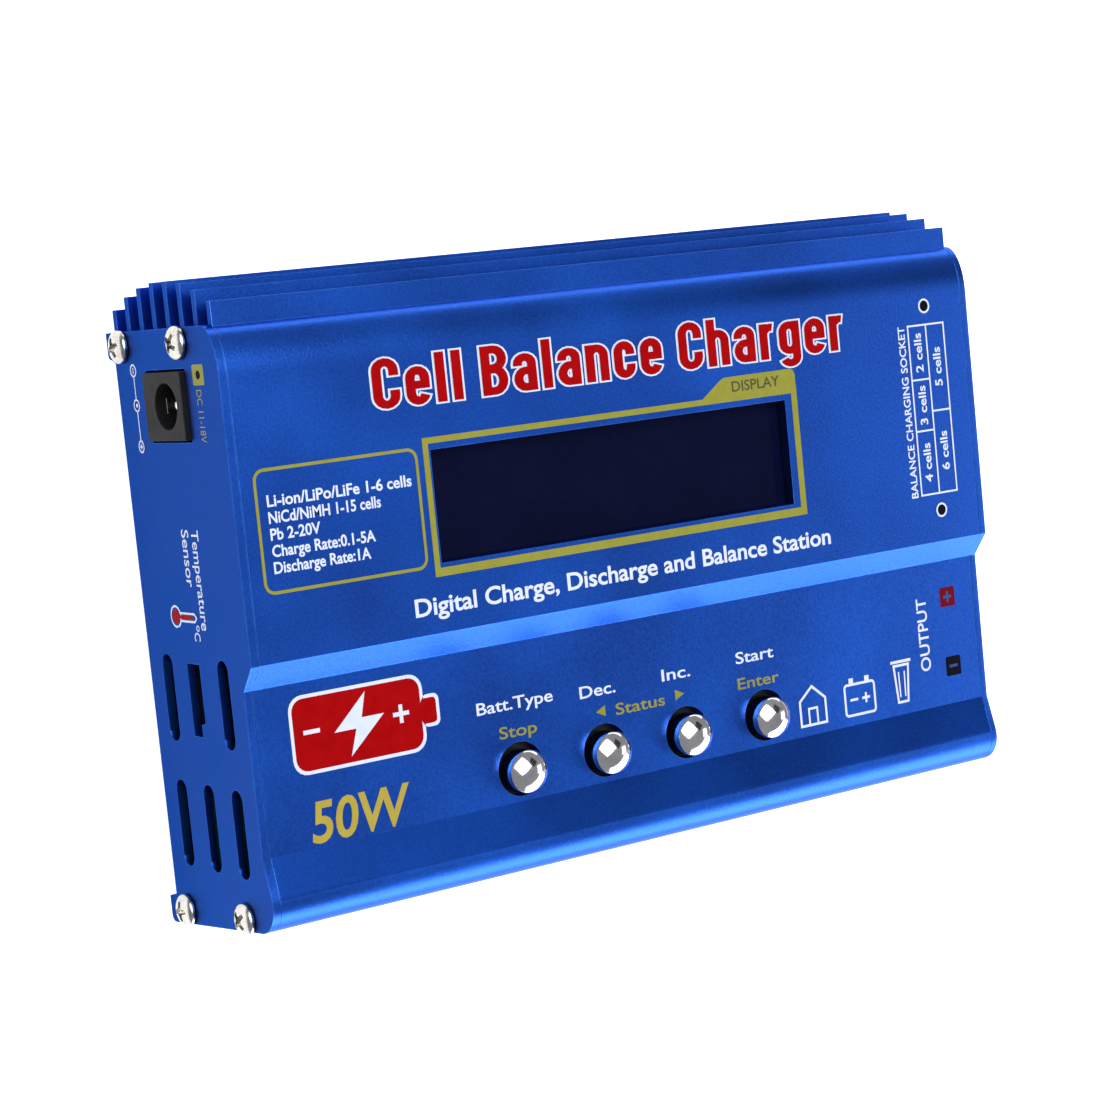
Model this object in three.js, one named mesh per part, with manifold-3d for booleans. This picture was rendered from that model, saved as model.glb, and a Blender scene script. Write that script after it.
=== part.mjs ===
// A flat desk charger for radio-control battery packs: an extruded aluminium case in two halves,
// closed by a sheet-metal plate at each end. +X runs along the case from the supply-input end to
// the output end, +Y points to the cooling fins and +Z is up out of the front panel.
// The origin is on the table, under the middle of the case. All sizes are in millimetres.
import * as THREE from 'three';
import { mergeVertices } from 'three/addons/utils/BufferGeometryUtils.js';
import Module from 'manifold-3d';

const wasm = await Module();
wasm.setup();

// Case section, across the width (Y) and height (Z)
const caseLength = 133;
const plateThickness = 1.2;
const plateGap = 0.06;
const rearY = 39.1;
const frontFootY = -45.4;
const frontTopY = -43.5;
const topZ = 32.35;
const lowZ = 29.45;
const stepTopY = -6.6;
const stepFootY = -10.1;
const wall = 1.8;
const railHeight = 2.1;
const railWidth = 3.8;
const railRound = 1;
const shoulderWidth = 7;
const shoulderZ = 28.6;
const flareStartY = -33;
const flareEndAngle = 1.31;
const lipRadius = 4.2;
const lipZ = 26.8;

// Cooling fins on the rear wall: their tips lie on one shallow arc
const finCount = 8;
const finPitch = 4.04;
const finThickness = 1.1;
const firstFinZ = 0.32;
const finTipY = 45.5;
const finTipArc = 32;

// Seams between the two halves, and the grooves that hold the main board
const rearSeamZ = 27.3;
const frontSeamZ = 9.6;
const seamGap = 0.3;
const tongueThickness = 1;
const ribThickness = 0.8;
const ribReach = 1.9;

// Screws through the end plates into channels along the case
const screwPlaces = {
  rear_low: [37.05, 4.4],
  rear_high: [37.05, 21.9],
  front_low: [-43.05, 5.4],
  front_high: [-42, 23.1],
};
const channelRadius = 1.7;
const channelHole = 1.3;
const shankRadius = 1;
const shankLength = 8;
const headRadius = 2.35;
const headHeight = 1.4;
const headRim = 0.35;

// Display
const windowX = [-35.2, 28.1];
const windowY = [3.05, 18.8];
const displayX = (windowX[0] + windowX[1]) / 2;
const displayY = (windowY[0] + windowY[1]) / 2;
const lensOverlap = 2.6;
const lensThickness = 0.85;
const bezelSize = [71.2, 25.2, 6.4];
const displayBoardSize = [80, 36, 1.6];
const displayBoardZ = 20.8;

// Push buttons
const buttonNames = ['stop', 'dec', 'inc', 'start'];
const firstButtonX = -23.7;
const buttonPitch = 14.95;
const buttonY = -28.35;
const buttonHole = 3.9;
const capY = -28.6;
const capRadius = 3.15;
const capFootZ = 27.8;
const capShoulderZ = 31.5;
const capTopZ = 32.9;
const stemRadius = 1.75;
const stemHeadRadius = 1.9;
const stemHeadZ = 30.2;
const flangeRadius = 4.6;
const flangeZ = 26.2;
const flangeThickness = 0.8;
const switchSize = 6;
const switchHeight = 3.5;

// Boards and sockets
const gap = 0.3;
const boardThickness = 1.6;
const boardZ = 9.4;
const boardTopZ = boardZ + boardThickness;
const keypadZ = 19.9;
const jackY = 28.55;
const jackSize = [14.1, 9.4, 11.2];
const jackProud = 0.8;
const jackAxisHeight = 6.35;
const jackBore = 3.2;
const socketRadius = 4.6;
const socketFlange = 5.2;
const socketBore = 2.05;
const socketZ = 16.2;
const socketY = { positive: -15.9, negative: -27 };
const headerHeight = 5.75;
const headerPitch = 2.5;
const headerEnd = 4.9;
const headerDepth = 8;
const headerRowY = -6.6;
const headerRowWidth = 38.4;
const upperHeaderZ = 19.25;

const innerEnd = caseLength / 2 - plateThickness;
const coverEnd = innerEnd - plateGap;
const group = new THREE.Group();

function material(color, roughness, metalness) {
  return new THREE.MeshStandardMaterial({ color, roughness, metalness });
}

// Solids for cutting and joining, and back to meshes
function solid(geometry) {
  const bare = geometry.clone();
  bare.deleteAttribute('normal');
  bare.deleteAttribute('uv');
  const merged = mergeVertices(bare, 1e-4);
  return new wasm.Manifold(new wasm.Mesh({
    numProp: 3,
    vertProperties: new Float32Array(merged.attributes.position.array),
    triVerts: new Uint32Array(merged.index.array),
  }));
}

function geometryOf(body) {
  const data = body.getMesh();
  const geometry = new THREE.BufferGeometry();
  const positions = new Float32Array(data.vertProperties);
  geometry.setAttribute('position', new THREE.BufferAttribute(positions, 3));
  geometry.setIndex(new THREE.BufferAttribute(new Uint32Array(data.triVerts), 1));
  geometry.computeVertexNormals();
  return geometry;
}

function add(name, geometry, finish) {
  const mesh = new THREE.Mesh(geometry, finish.clone());
  mesh.name = name;
  group.add(mesh);
  return mesh;
}

function addSolid(name, body, finish) {
  return add(name, geometryOf(body), finish);
}

// A box between two corners
function box(x0, x1, y0, y1, z0, z1) {
  const geometry = new THREE.BoxGeometry(x1 - x0, y1 - y0, z1 - z0);
  return geometry.translate((x0 + x1) / 2, (y0 + y1) / 2, (z0 + z1) / 2);
}

// An outline in Y and Z, carried along X
function alongX(shape, x0, x1, curveSegments = 8) {
  const geometry = new THREE.ExtrudeGeometry(shape, {
    depth: x1 - x0,
    bevelEnabled: false,
    curveSegments,
  });
  const across = new THREE.Vector3(0, 1, 0);
  const up = new THREE.Vector3(0, 0, 1);
  const along = new THREE.Vector3(1, 0, 0);
  geometry.applyMatrix4(new THREE.Matrix4().makeBasis(across, up, along));
  return geometry.translate(x0, 0, 0);
}

function rodX(radius, x0, x1, y, z, sides = 20) {
  const geometry = new THREE.CylinderGeometry(radius, radius, x1 - x0, sides);
  return geometry.rotateZ(-Math.PI / 2).translate((x0 + x1) / 2, y, z);
}

function rodZ(radius, x, y, z0, z1, sides = 24) {
  const geometry = new THREE.CylinderGeometry(radius, radius, z1 - z0, sides);
  return geometry.rotateX(Math.PI / 2).translate(x, y, (z0 + z1) / 2);
}

// A turned piece: radius and height pairs, standing along Z
function turned(profile, sides = 24) {
  const points = profile.map(([radius, height]) => new THREE.Vector2(radius, height));
  return new THREE.LatheGeometry(points, sides).rotateX(Math.PI / 2);
}

// The front wall leans back a little as it rises
function frontWallY(z) {
  const lean = (frontTopY - frontFootY) / (lipZ - railRound);
  return frontFootY + lean * (z - railRound);
}

function shoulderY(z) {
  const rise = (z - shoulderZ) / (topZ - shoulderZ);
  return rearY - shoulderWidth + shoulderWidth * Math.sqrt(1 - rise * rise);
}

function finZ(index) {
  return firstFinZ + index * finPitch;
}

function finTip(index) {
  const middle = finZ((finCount - 1) / 2);
  const offset = finZ(index) - middle;
  return finTipY - finTipArc + Math.sqrt(finTipArc * finTipArc - offset * offset);
}

// Rear shoulder, top panel, step, lower panel, sloping band and rounded lip
function traceTop(shape) {
  const startAngle = Math.acos((shape.currentPoint.x - rearY + shoulderWidth) / shoulderWidth);
  shape.absellipse(rearY - shoulderWidth, shoulderZ, shoulderWidth, topZ - shoulderZ,
    startAngle, Math.PI / 2, false);
  shape.lineTo(stepTopY, topZ);
  shape.lineTo(stepFootY, lowZ);
  shape.lineTo(flareStartY, lowZ);
  shape.absarc(frontTopY + lipRadius, lipZ, lipRadius, flareEndAngle, Math.PI, false);
}

// Front foot, the front rail, the raised underside and the rear rail
function traceFoot(shape) {
  shape.lineTo(frontFootY, railRound);
  shape.absarc(frontFootY + railRound, railRound, railRound, Math.PI, 1.5 * Math.PI, false);
  shape.lineTo(frontFootY + railWidth, 0);
  shape.lineTo(frontFootY + railWidth + railRound / 2, railHeight);
  shape.lineTo(rearY - railWidth - railRound / 2, railHeight);
  shape.lineTo(rearY - railWidth, railRound);
  shape.quadraticCurveTo(rearY - railWidth, 0, rearY - railWidth + railRound, 0);
  shape.lineTo(rearY, 0);
}

// The outline of the closed case, without its fins
function caseOutline() {
  const shape = new THREE.Shape();
  shape.moveTo(rearY, 0);
  shape.lineTo(rearY, shoulderZ);
  traceTop(shape);
  traceFoot(shape);
  return shape;
}

function channels(places) {
  const bosses = places.map(([y, z]) => solid(rodX(channelRadius, -coverEnd, coverEnd, y, z, 16)));
  const holes = places.map(([y, z]) => solid(rodX(channelHole, -70, 70, y, z, 12)));
  return { bosses, holes };
}

function withChannels(body, places) {
  const { bosses, holes } = channels(places);
  let result = body;
  bosses.forEach((boss) => { result = result.add(boss); });
  holes.forEach((hole) => { result = result.subtract(hole); });
  return result;
}

function buttonX(index) {
  return firstButtonX + index * buttonPitch;
}

const blueAnodised = material(0x1a48a8, 0.35, 0.85);

function topCover() {
  const shape = new THREE.Shape();
  const topFin = finCount - 1;
  const seam = rearSeamZ + seamGap / 2;
  shape.moveTo(rearY, seam);
  shape.lineTo(rearY, finZ(topFin));
  shape.lineTo(finTip(topFin), finZ(topFin));
  shape.lineTo(finTip(topFin), finZ(topFin) + finThickness);
  shape.lineTo(shoulderY(finZ(topFin) + finThickness), finZ(topFin) + finThickness);
  traceTop(shape);
  const foot = frontSeamZ + seamGap / 2;
  const ribZ = boardTopZ + gap;
  const inner = (z) => frontWallY(z) + wall;
  shape.lineTo(frontWallY(foot), foot);
  shape.lineTo(inner(foot), foot);
  shape.lineTo(inner(ribZ), ribZ);
  shape.lineTo(inner(ribZ) + ribReach, ribZ);
  shape.lineTo(inner(ribZ) + ribReach, ribZ + ribThickness);
  shape.lineTo(inner(ribZ + ribThickness), ribZ + ribThickness);
  shape.lineTo(frontTopY + wall, lipZ);
  shape.lineTo(frontTopY + lipRadius, lowZ - wall);
  shape.lineTo(stepFootY + wall / 2, lowZ - wall);
  shape.lineTo(stepTopY + wall / 2, topZ - wall);
  shape.lineTo(rearY - shoulderWidth, topZ - wall);
  const tongueY = rearY - wall - seamGap;
  shape.lineTo(tongueY - tongueThickness, shoulderZ);
  shape.lineTo(tongueY - tongueThickness, rearSeamZ - wall);
  shape.lineTo(tongueY, rearSeamZ - wall);
  shape.lineTo(tongueY, seam);
  let body = solid(alongX(shape, -coverEnd, coverEnd));
  body = withChannels(body, [screwPlaces.front_high]);
  body = body.subtract(solid(box(...windowX, ...windowY, lowZ, topZ + 1)));
  buttonNames.forEach((name, index) => {
    body = body.subtract(solid(rodZ(buttonHole, buttonX(index), buttonY, lowZ - 5, topZ, 32)));
  });
  addSolid('top_cover', body, blueAnodised);
}

function bottomCover() {
  const shape = new THREE.Shape();
  const head = frontSeamZ - seamGap / 2;
  shape.moveTo(frontWallY(head), head);
  traceFoot(shape);
  for (let index = 0; index < finCount - 1; index += 1) {
    shape.lineTo(rearY, finZ(index));
    shape.lineTo(finTip(index), finZ(index));
    shape.lineTo(finTip(index), finZ(index) + finThickness);
    shape.lineTo(rearY, finZ(index) + finThickness);
  }
  const rearInner = rearY - wall;
  const floorZ = railHeight + wall;
  const ledgeTop = boardZ - gap;
  const ribFoot = boardTopZ + gap;
  const frontInner = (z) => frontWallY(z) + wall;
  shape.lineTo(rearY, rearSeamZ - seamGap / 2);
  shape.lineTo(rearInner, rearSeamZ - seamGap / 2);
  shape.lineTo(rearInner, ribFoot + ribThickness);
  shape.lineTo(rearInner - ribReach, ribFoot + ribThickness);
  shape.lineTo(rearInner - ribReach, ribFoot);
  shape.lineTo(rearInner, ribFoot);
  shape.lineTo(rearInner, ledgeTop);
  shape.lineTo(rearInner - ribReach, ledgeTop);
  shape.lineTo(rearInner - ribReach, floorZ);
  shape.lineTo(frontInner(floorZ) + ribReach, floorZ);
  shape.lineTo(frontInner(floorZ) + ribReach, ledgeTop);
  shape.lineTo(frontInner(ledgeTop), ledgeTop);
  shape.lineTo(frontInner(head), head);
  let body = solid(alongX(shape, -coverEnd, coverEnd));
  body = withChannels(body, [
    screwPlaces.rear_low,
    screwPlaces.rear_high,
    screwPlaces.front_low,
  ]);
  addSolid('bottom_cover', body, blueAnodised);
}

// Each end plate has the outline of the case without its fins
function plateBlank(x0, x1) {
  let body = solid(alongX(caseOutline(), x0, x1));
  Object.values(screwPlaces).forEach(([y, z]) => {
    body = body.subtract(solid(rodX(channelHole, x0 - 1, x1 + 1, y, z)));
  });
  return body;
}

// A round-ended vent slot along Y
function ventSlot(y0, y1, z, width) {
  const r = width / 2;
  const shape = new THREE.Shape();
  shape.moveTo(y0 + r, z - r);
  shape.lineTo(y1 - r, z - r);
  shape.absarc(y1 - r, z, r, -Math.PI / 2, Math.PI / 2, false);
  shape.lineTo(y0 + r, z + r);
  shape.absarc(y0 + r, z, r, Math.PI / 2, 1.5 * Math.PI, false);
  return solid(alongX(shape, -caseLength / 2 - 1, -innerEnd + 1));
}

// The sensor port is square at one end, with a narrower step at the other
function sensorPort() {
  const shape = new THREE.Shape();
  shape.moveTo(-7.1, 13.6);
  shape.lineTo(-7.1, 17.3);
  shape.lineTo(-15.3, 17.3);
  shape.lineTo(-15.6, 16.1);
  shape.lineTo(-17.3, 16.1);
  shape.lineTo(-17.3, 13.6);
  return solid(alongX(shape, -caseLength / 2 - 1, -innerEnd + 1));
}

function inputPlate() {
  let body = plateBlank(-caseLength / 2, -innerEnd);
  const slotWidth = 3.1;
  const rows = [[-18.5, -6.1], [-36.4, -24]];
  const columns = [7.6, 15.8, 24];
  rows.forEach(([y0, y1], row) => columns.forEach((z, column) => {
    const isPort = row === 0 && column === 1;
    body = body.subtract(isPort ? sensorPort() : ventSlot(y0, y1, z, slotWidth));
  }));
  const z0 = boardTopZ + gap;
  const half = jackSize[1] / 2 + gap;
  body = body.subtract(solid(box(-caseLength / 2 - 1, -innerEnd + 1,
    jackY - half, jackY + half, z0 - gap, z0 + jackSize[2] + gap)));
  addSolid('end_plate_input', body, blueAnodised);
}

function outputPlate() {
  const outside = caseLength / 2 + 1;
  let body = plateBlank(innerEnd, caseLength / 2);
  Object.values(socketY).forEach((y) => {
    body = body.subtract(solid(rodX(socketRadius + gap, innerEnd - 1, outside, y, socketZ, 32)));
  });
  [boardTopZ + gap, upperHeaderZ].forEach((z) => {
    body = body.subtract(solid(box(innerEnd - 1, outside, headerRowY - gap,
      headerRowY + headerRowWidth + gap, z - gap, z + headerHeight + gap)));
  });
  addSolid('end_plate_output', body, blueAnodised);
}

// Pan-head screw with a cross recess; it lies along X with its head outward
function endScrew(side, place, y, z) {
  const seat = 0.1;
  const cap = headHeight - headRim;
  const profile = [[0, -shankLength], [shankRadius * 0.6, -shankLength]];
  profile.push([shankRadius, -shankLength + 1], [shankRadius, seat], [headRadius, seat]);
  profile.push([headRadius, seat + headRim]);
  [30, 58, 78].forEach((degrees) => {
    const turn = THREE.MathUtils.degToRad(degrees);
    profile.push([headRadius * Math.cos(turn), seat + headRim + cap * Math.sin(turn)]);
  });
  profile.push([0, seat + headHeight]);
  let body = solid(turned(profile, 20));
  const recess = 1.25;
  const blade = 0.3;
  body = body.subtract(solid(box(-recess, recess, -blade, blade, 0.8, 3)));
  body = body.subtract(solid(box(-blade, blade, -recess, recess, 0.8, 3)));
  const out = side === 'input' ? -1 : 1;
  const geometry = geometryOf(body).rotateZ(Math.PI / 5).rotateY(out * Math.PI / 2);
  geometry.translate(out * caseLength / 2, y, z);
  add(`end_screw_${side}_${place}`, geometry, material(0xc8c4bc, 0.25, 1));
}

function displayModule() {
  const [boardX, boardY, boardT] = displayBoardSize;
  const [bezelX, bezelY, bezelZ] = bezelSize;
  const green = material(0x1c5a34, 0.5, 0.1);
  const bezelFoot = displayBoardZ + boardT + gap;
  const bezelTop = bezelFoot + bezelZ;
  const sheet = 0.4;
  add('display_board', box(displayX - boardX / 2, displayX + boardX / 2,
    displayY - boardY / 2, displayY + boardY / 2, displayBoardZ, displayBoardZ + boardT), green);
  let bezel = solid(box(displayX - bezelX / 2, displayX + bezelX / 2,
    displayY - bezelY / 2, displayY + bezelY / 2, bezelFoot, bezelTop));
  bezel = bezel.subtract(solid(box(displayX - bezelX / 2 + sheet, displayX + bezelX / 2 - sheet,
    displayY - bezelY / 2 + sheet, displayY + bezelY / 2 - sheet, bezelFoot - 1, bezelTop - sheet)));
  const margin = 0.8;
  bezel = bezel.subtract(solid(box(windowX[0] - margin, windowX[1] + margin,
    windowY[0] - margin, windowY[1] + margin, bezelFoot, bezelTop + 1)));
  addSolid('display_bezel', bezel, material(0x26262a, 0.4, 0.8));
  const inset = sheet + gap;
  add('display_cell', box(displayX - bezelX / 2 + inset, displayX + bezelX / 2 - inset,
    displayY - bezelY / 2 + inset, displayY + bezelY / 2 - inset,
    bezelFoot, bezelTop - inset), material(0x060a2c, 0.1, 0));
  const lensZ = topZ - wall - gap - lensThickness;
  add('display_window', box(windowX[0] - lensOverlap, windowX[1] + lensOverlap,
    windowY[0] - lensOverlap, windowY[1] + lensOverlap, lensZ, lensZ + lensThickness),
  material(0x0a1030, 0.05, 0));
  const headerY = displayY + boardY / 2 - 2.3;
  add('display_header', box(-38, 2.6, headerY - 1.25, headerY + 1.25,
    boardTopZ + gap, displayBoardZ - gap), material(0x141414, 0.5, 0));
  const spacerY = displayY - boardY / 2 + 2.5;
  [['left', displayX - boardX / 2 + 2.5], ['right', displayX + boardX / 2 - 2.5]].forEach(
    ([side, x]) => add(`display_spacer_${side}`,
      rodZ(2.2, x, spacerY, boardTopZ + gap, displayBoardZ - gap, 6), material(0xe8e4d8, 0.6, 0)),
  );
}

// Chrome thimble: a straight skirt under a spherical dome, with a socket for the stem
function buttonCap(name, x) {
  const socket = stemHeadRadius + gap;
  const profile = [[0, stemHeadZ + gap], [socket, stemHeadZ + gap], [socket, capFootZ]];
  profile.push([capRadius, capFootZ], [capRadius, capShoulderZ]);
  const rise = capTopZ - capShoulderZ;
  const domeRadius = (capRadius * capRadius + rise * rise) / (2 * rise);
  const domeAngle = Math.asin(capRadius / domeRadius);
  const rings = 5;
  for (let ring = 1; ring < rings; ring += 1) {
    const angle = domeAngle * (1 - ring / rings);
    const height = capTopZ - domeRadius * (1 - Math.cos(angle));
    profile.push([domeRadius * Math.sin(angle), height]);
  }
  profile.push([0, capTopZ]);
  const geometry = turned(profile, 24).translate(x, capY, 0);
  add(`button_cap_${name}`, geometry, material(0xd8d8dc, 0.08, 1));
}

// Black moulded stem: its flange stops the button from falling out through the panel
function buttonStem(name, x, footZ) {
  const flangeTop = flangeZ + flangeThickness;
  const profile = [[0, footZ], [stemRadius, footZ], [stemRadius, flangeZ]];
  profile.push([flangeRadius, flangeZ], [flangeRadius, flangeTop], [stemHeadRadius, flangeTop]);
  profile.push([stemHeadRadius, stemHeadZ], [0, stemHeadZ]);
  add(`button_stem_${name}`, turned(profile, 24).translate(x, capY, 0),
    material(0x17171a, 0.5, 0));
}

function tactSwitch(name, x) {
  const foot = keypadZ + boardThickness + gap;
  const top = foot + switchHeight;
  const half = switchSize / 2;
  const well = 0.9;
  let housing = solid(box(x - half, x + half, capY - half, capY + half, foot, top));
  const wellRadius = stemRadius + gap + 0.05;
  housing = housing.subtract(solid(rodZ(wellRadius, x, capY, top - well, top + 1, 20)));
  addSolid(`switch_housing_${name}`, housing, material(0x18181a, 0.45, 0));
  buttonStem(name, x, top - 0.5);
}

function keypad() {
  const left = firstButtonX - 8.3;
  const right = buttonX(3) + 8.3;
  add('keypad_board', box(left, right, buttonY - 6.3, buttonY + 6.3,
    keypadZ, keypadZ + boardThickness), material(0x1c5a34, 0.5, 0.1));
  [['left', left + 2.6], ['right', right - 2.6]].forEach(([side, x]) => {
    add(`keypad_spacer_${side}`, rodZ(2.2, x, buttonY - 3.6, boardTopZ + gap, keypadZ - gap, 6),
      material(0xe8e4d8, 0.6, 0));
  });
  buttonNames.forEach((name, index) => {
    buttonCap(name, buttonX(index));
    tactSwitch(name, buttonX(index));
  });
}

// Supply inlet: a black moulded block with a round mouth and a centre pin
function supplyJack() {
  const mouth = -caseLength / 2 - jackProud;
  const foot = boardTopZ + gap;
  const axisZ = foot + jackAxisHeight;
  const depth = 9.8;
  let body = solid(box(mouth, mouth + jackSize[0], jackY - jackSize[1] / 2,
    jackY + jackSize[1] / 2, foot, foot + jackSize[2]));
  body = body.subtract(solid(rodX(jackBore, mouth - 1, mouth + depth, jackY, axisZ, 24)));
  addSolid('dc_jack', body, material(0x17171a, 0.5, 0));
  add('dc_jack_pin', rodX(1.05, mouth + 1.5, mouth + depth - gap, jackY, axisZ, 16),
    material(0xd0ccc0, 0.2, 1));
}

// Three-way header for the temperature probe, behind its port
function sensorHeader() {
  const foot = boardTopZ + gap;
  const face = -innerEnd + gap;
  let body = solid(box(face, face + 7, -17.6, -6.8, foot, foot + 7));
  body = body.subtract(solid(box(face - 1, face + 6, -16.9, -7.5, foot + 1.4, foot + 6.3)));
  addSolid('sensor_header', body, material(0x1a1a1c, 0.5, 0));
}

// Balance headers: white moulded shells, open outward, with two keying notches each
function balanceHeader(cells, y0, z0) {
  const width = cells * headerPitch + headerEnd;
  const face = caseLength / 2 + 0.2;
  const side = 0.7;
  const skin = 0.6;
  const notch = 1;
  let body = solid(box(face - headerDepth, face, y0, y0 + width, z0, z0 + headerHeight));
  body = body.subtract(solid(box(face - headerDepth + 1.4, face + 1,
    y0 + side, y0 + width - side, z0 + skin, z0 + headerHeight - skin)));
  [y0 + 2.2, y0 + width - 2.2].forEach((y) => {
    body = body.subtract(solid(box(face - 5, face + 1, y - notch / 2, y + notch / 2,
      z0 + headerHeight - skin - 0.2, z0 + headerHeight + 1)));
  });
  addSolid(`balance_header_${cells}s`, body, material(0xece6d4, 0.45, 0));
  return width;
}

function balanceHeaders() {
  const spread = (cellList, z0) => {
    const total = cellList.reduce((sum, cells) => sum + cells * headerPitch + headerEnd, 0);
    const space = (headerRowWidth - total) / (cellList.length - 1);
    let y = headerRowY;
    cellList.forEach((cells) => { y += balanceHeader(cells, y, z0) + space; });
  };
  spread([4, 3, 2], upperHeaderZ);
  spread([6, 5], boardTopZ + gap);
  const boardTop = upperHeaderZ - gap;
  add('balance_board', box(46, innerEnd - gap, headerRowY - 0.4, headerRowY + headerRowWidth + 0.4,
    boardTop - boardThickness, boardTop), material(0x1c5a34, 0.5, 0.1));
}

// Output sockets for 4 mm plugs: a coloured insulator around a brass sleeve
function outputSocket(name, color) {
  const y = socketY[name];
  const face = caseLength / 2;
  const flange = 1.6;
  const inside = 14;
  const bore = 3.2;
  const profile = [[bore, -inside], [socketRadius, -inside], [socketRadius, 0.1]];
  profile.push([socketFlange, 0.1], [socketFlange, flange - 0.4], [socketFlange - 0.4, flange]);
  profile.push([bore, flange], [bore, -inside]);
  const insulator = turned(profile, 24).rotateY(Math.PI / 2).translate(face, y, socketZ);
  add(`output_socket_${name}`, insulator, material(color, 0.35, 0));
  const outer = bore - gap;
  const lip = flange - 0.5;
  const tube = [[0, -inside - 1.5], [outer, -inside - 1.5], [outer, lip], [socketBore, lip]];
  tube.push([socketBore, -inside], [0, -inside]);
  const sleeve = turned(tube, 24).rotateY(Math.PI / 2).translate(face, y, socketZ);
  add(`output_sleeve_${name}`, sleeve, material(0xd8b050, 0.25, 1));
}

function mainBoard() {
  add('main_board', box(-innerEnd + gap, innerEnd - gap, frontWallY(boardZ) + wall + gap,
    rearY - wall - gap, boardZ, boardTopZ), material(0x1c5a34, 0.5, 0.1));
  const floorZ = railHeight + wall;
  add('insulator_sheet', box(-62, 62, -38.5, 33, floorZ + gap, floorZ + gap + 0.3),
    material(0xd8d4c0, 0.6, 0));
}

function boardParts() {
  const top = boardTopZ + gap;
  const black = material(0x151517, 0.5, 0);
  [['input', -57, 16.5], ['output', -57, 3.5]].forEach(([name, x, y]) => {
    add(`capacitor_${name}`, rodZ(5, x, y, top, top + 15, 20), material(0x202850, 0.3, 0.2));
  });
  [['input', -50, -29.5], ['output', 39, -17]].forEach(([name, x, y]) => {
    const ring = [[4.2, 0], [8.4, 0], [9, 0.6], [9, 7.4], [8.4, 8], [4.2, 8], [4.2, 0]];
    add(`inductor_${name}`, turned(ring, 24).translate(x, y, top), material(0x9a5a28, 0.35, 0.6));
  });
  add('buzzer', rodZ(6, 42, -32, top, top + 8.5, 24), black);
  add('controller_chip', box(-11, 1, -1, 11, top - 0.2, top + 1.2), black);
  const rearInner = rearY - wall;
  const footZ = top + ribThickness + gap;
  [['charge', -20], ['discharge', 10]].forEach(([name, x]) => {
    add(`transistor_${name}`, box(x - 5.1, x + 5.1, rearInner - 4.7, rearInner - gap,
      footZ, footZ + 7), black);
  });
  add('transistor_clamp', box(-28, 18, rearInner - 6, rearInner - 5, footZ + 2, footZ + 6),
    material(0xb8b8bc, 0.35, 1));
}

topCover();
bottomCover();
inputPlate();
outputPlate();
['input', 'output'].forEach((side) => {
  Object.entries(screwPlaces).forEach(([place, [y, z]]) => endScrew(side, place, y, z));
});
displayModule();
keypad();
supplyJack();
sensorHeader();
balanceHeaders();
outputSocket('positive', 0xb01818);
outputSocket('negative', 0x161618);
mainBoard();
boardParts();

export default group;
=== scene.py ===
import math

import bmesh
import bpy
from mathutils import Matrix, Vector


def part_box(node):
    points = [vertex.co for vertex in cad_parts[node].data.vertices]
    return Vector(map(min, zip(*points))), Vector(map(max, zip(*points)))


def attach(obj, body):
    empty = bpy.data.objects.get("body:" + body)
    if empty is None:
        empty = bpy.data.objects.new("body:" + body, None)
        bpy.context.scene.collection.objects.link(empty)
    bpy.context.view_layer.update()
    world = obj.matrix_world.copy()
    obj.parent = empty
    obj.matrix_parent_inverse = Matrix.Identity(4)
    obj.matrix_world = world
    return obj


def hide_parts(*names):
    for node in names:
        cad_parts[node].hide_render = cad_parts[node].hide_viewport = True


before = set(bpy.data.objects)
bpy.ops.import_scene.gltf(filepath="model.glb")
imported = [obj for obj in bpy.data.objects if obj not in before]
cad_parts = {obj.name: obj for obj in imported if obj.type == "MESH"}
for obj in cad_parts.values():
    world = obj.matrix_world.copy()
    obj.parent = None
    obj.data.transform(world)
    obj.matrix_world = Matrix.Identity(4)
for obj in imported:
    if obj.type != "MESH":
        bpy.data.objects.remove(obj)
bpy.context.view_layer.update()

MM = 0.001


# ---------------------------------------------------------------------------
# The case: two extruded aluminium halves, one with the panel and one with the
# base and the cooling fins. Blasted to a fine satin, then dyed blue and
# anodised. Every edge is broken slightly by tumbling before the dye.
# The deeper blue of the sloping band along the front is painted shade.
# ---------------------------------------------------------------------------
def effect_group(name, inputs, outputs):
    group = bpy.data.node_groups.new(name, "ShaderNodeTree")
    for label, default in inputs:
        socket = group.interface.new_socket(name=label, in_out="INPUT",
                                            socket_type="NodeSocketFloat")
        socket.default_value = default
    for label in outputs:
        group.interface.new_socket(name=label, in_out="OUTPUT", socket_type="NodeSocketFloat")
    return group, group.nodes.new("NodeGroupInput"), group.nodes.new("NodeGroupOutput")


def noise(tree, coordinate, scale_socket, detail=3.0):
    texture = tree.nodes.new("ShaderNodeTexNoise")
    texture.inputs["Detail"].default_value = detail
    tree.links.new(coordinate.outputs["Object"], texture.inputs["Vector"])
    tree.links.new(scale_socket, texture.inputs["Scale"])
    return texture.outputs["Fac"]


def ranged(tree, value, low, high, new_low=0.0, new_high=1.0):
    remap = tree.nodes.new("ShaderNodeMapRange")
    remap.inputs["From Min"].default_value = low
    remap.inputs["From Max"].default_value = high
    remap.inputs["To Min"].default_value = new_low
    remap.inputs["To Max"].default_value = new_high
    tree.links.new(value, remap.inputs["Value"])
    return remap.outputs["Result"]


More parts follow.
